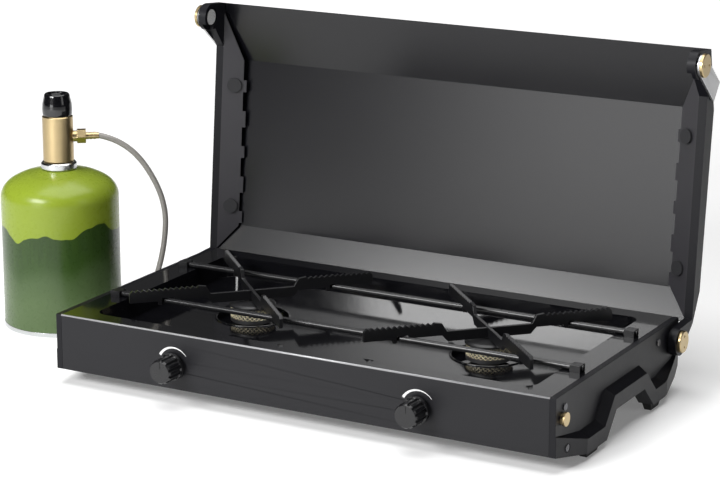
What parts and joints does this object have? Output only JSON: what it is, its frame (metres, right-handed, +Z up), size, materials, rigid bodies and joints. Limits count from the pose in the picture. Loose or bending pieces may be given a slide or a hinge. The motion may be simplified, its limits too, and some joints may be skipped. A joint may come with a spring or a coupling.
{
  "type": "camping stove",
  "caption": "Folding suitcase camping stove with gas burners under lift-off pot supports, a hinged lid with a carrying handle, and a hose to a regulator on an upright gas cartridge.",
  "frame": {"origin": "bottom centre of the whole part without its hose, on the ground", "axes": "+X along the front panel from the cartridge to the far end, +Y from the front panel to the open lid, +Z up"},
  "size_m": [0.6338, 0.3582, 0.2879],
  "materials": {
    "shell": "satin black powder coat",
    "end_mouldings": "satin black moulding",
    "pan": "satin black coat",
    "tray": "gloss black enamel",
    "rubber": "matt black rubber",
    "screws": "blackened steel",
    "brass": "turned brass",
    "steel": "drawn steel",
    "blades": "black enamelled steel",
    "burner_alloy": "die-cast",
    "burner_brass": "perforated brass",
    "burner_iron": "heat-darkened iron",
    "knobs": "satin black plastic",
    "lid_sheet": "satin black powder coat",
    "arm_steel": "brushed steel",
    "oak": "oiled oak",
    "regulator_knob": "black plastic",
    "cartridge_green": "gloss lacquered steel",
    "tinplate": "tinplate",
    "hose": "smooth gas hose"
  },
  "bodies": {
    "base": {"bottom_pan": "pan", "burner_body_left": "burner_alloy", "burner_body_right": "burner_alloy", "burner_bowl_left": "tray", "burner_bowl_right": "tray", "burner_cap_left": "burner_iron", "burner_cap_right": "burner_iron", "burner_mesh_left": "burner_brass", "burner_mesh_right": "burner_brass", "cap_screws": "screws", "end_cap_left": "end_mouldings", "end_cap_right": "end_mouldings", "front_panel": "shell", "gas_inlet": "brass", "gas_jet_left": "brass", "gas_jet_right": "brass", "hinge_bolts": "brass", "hob_tray": "tray", "hose": "hose", "latch_studs": "brass", "manifold_pipe": "steel", "mixing_tube_left": "steel", "mixing_tube_right": "steel", "outlet_nut": "brass", "regulator_body": "brass", "regulator_ferrule": "brass", "rod_clips": "steel", "rubber_feet": "rubber", "stove_ferrule": "brass", "support_rods": "steel", "valve_body_left": "brass", "valve_body_right": "brass"},
    "lid": {"handle_bolts": "brass", "handle_nuts": "steel", "lid_bumpers": "rubber", "lid_cap_left": "end_mouldings", "lid_cap_right": "end_mouldings", "lid_end_strip_left": "lid_sheet", "lid_end_strip_right": "lid_sheet", "lid_panel": "lid_sheet", "lid_screws": "screws"},
    "handle": {"grip_screws": "screws", "handle_arm_left": "arm_steel", "handle_arm_right": "arm_steel", "handle_grip": "oak"},
    "left_knob": {"gas_knob_left": "knobs", "knob_spindle_left": "brass"},
    "right_knob": {"gas_knob_right": "knobs", "knob_spindle_right": "brass"},
    "regulator_dial": {"regulator_knob": "regulator_knob"},
    "cartridge": {"cartridge_shell": "cartridge_green", "cartridge_seam": "tinplate", "cartridge_collar": "tinplate"},
    "left_pot_support": {"pot_blade_notched_left": "blades", "pot_blade_crossing_left": "blades"},
    "right_pot_support": {"pot_blade_notched_right": "blades", "pot_blade_crossing_right": "blades"}
  },
  "joints": [
    {"name": "lid_hinge", "type": "hinge", "parent": "base", "child": "lid", "pos_m": [0.0718, 0.08965, 0.0457], "axis": [1, 0, 0], "range_deg": [0, 95.1]},
    {"name": "handle_swing", "type": "hinge", "parent": "lid", "child": "handle", "pos_m": [0.0718, 0.11166, 0.27596], "axis": [1, 0, 0], "range_deg": [0, 130]},
    {"name": "left_knob_turn", "type": "hinge", "parent": "base", "child": "left_knob", "pos_m": [-0.0417, -0.14135, 0.0345], "axis": [0, -1, 0], "range_deg": [0, 180]},
    {"name": "right_knob_turn", "type": "hinge", "parent": "base", "child": "right_knob", "pos_m": [0.1853, -0.14135, 0.0345], "axis": [0, -1, 0], "range_deg": [0, 180]},
    {"name": "regulator_turn", "type": "hinge", "parent": "base", "child": "regulator_dial", "pos_m": [-0.2633, 0.01205, 0.2], "axis": [0, 0, 1], "range_deg": [0, 270]},
    {"name": "cartridge_unscrew", "type": "hinge", "parent": "base", "child": "cartridge", "pos_m": [-0.2633, 0.01205, 0.1], "axis": [0, 0, 1], "range_deg": [0, 720]},
    {"name": "left_support_lift", "type": "slide", "parent": "base", "child": "left_pot_support", "axis": [0, 0, -1], "range_m": [-0.045, 0]},
    {"name": "right_support_lift", "type": "slide", "parent": "base", "child": "right_pot_support", "axis": [0, 0, -1], "range_m": [-0.045, 0]}
  ]
}
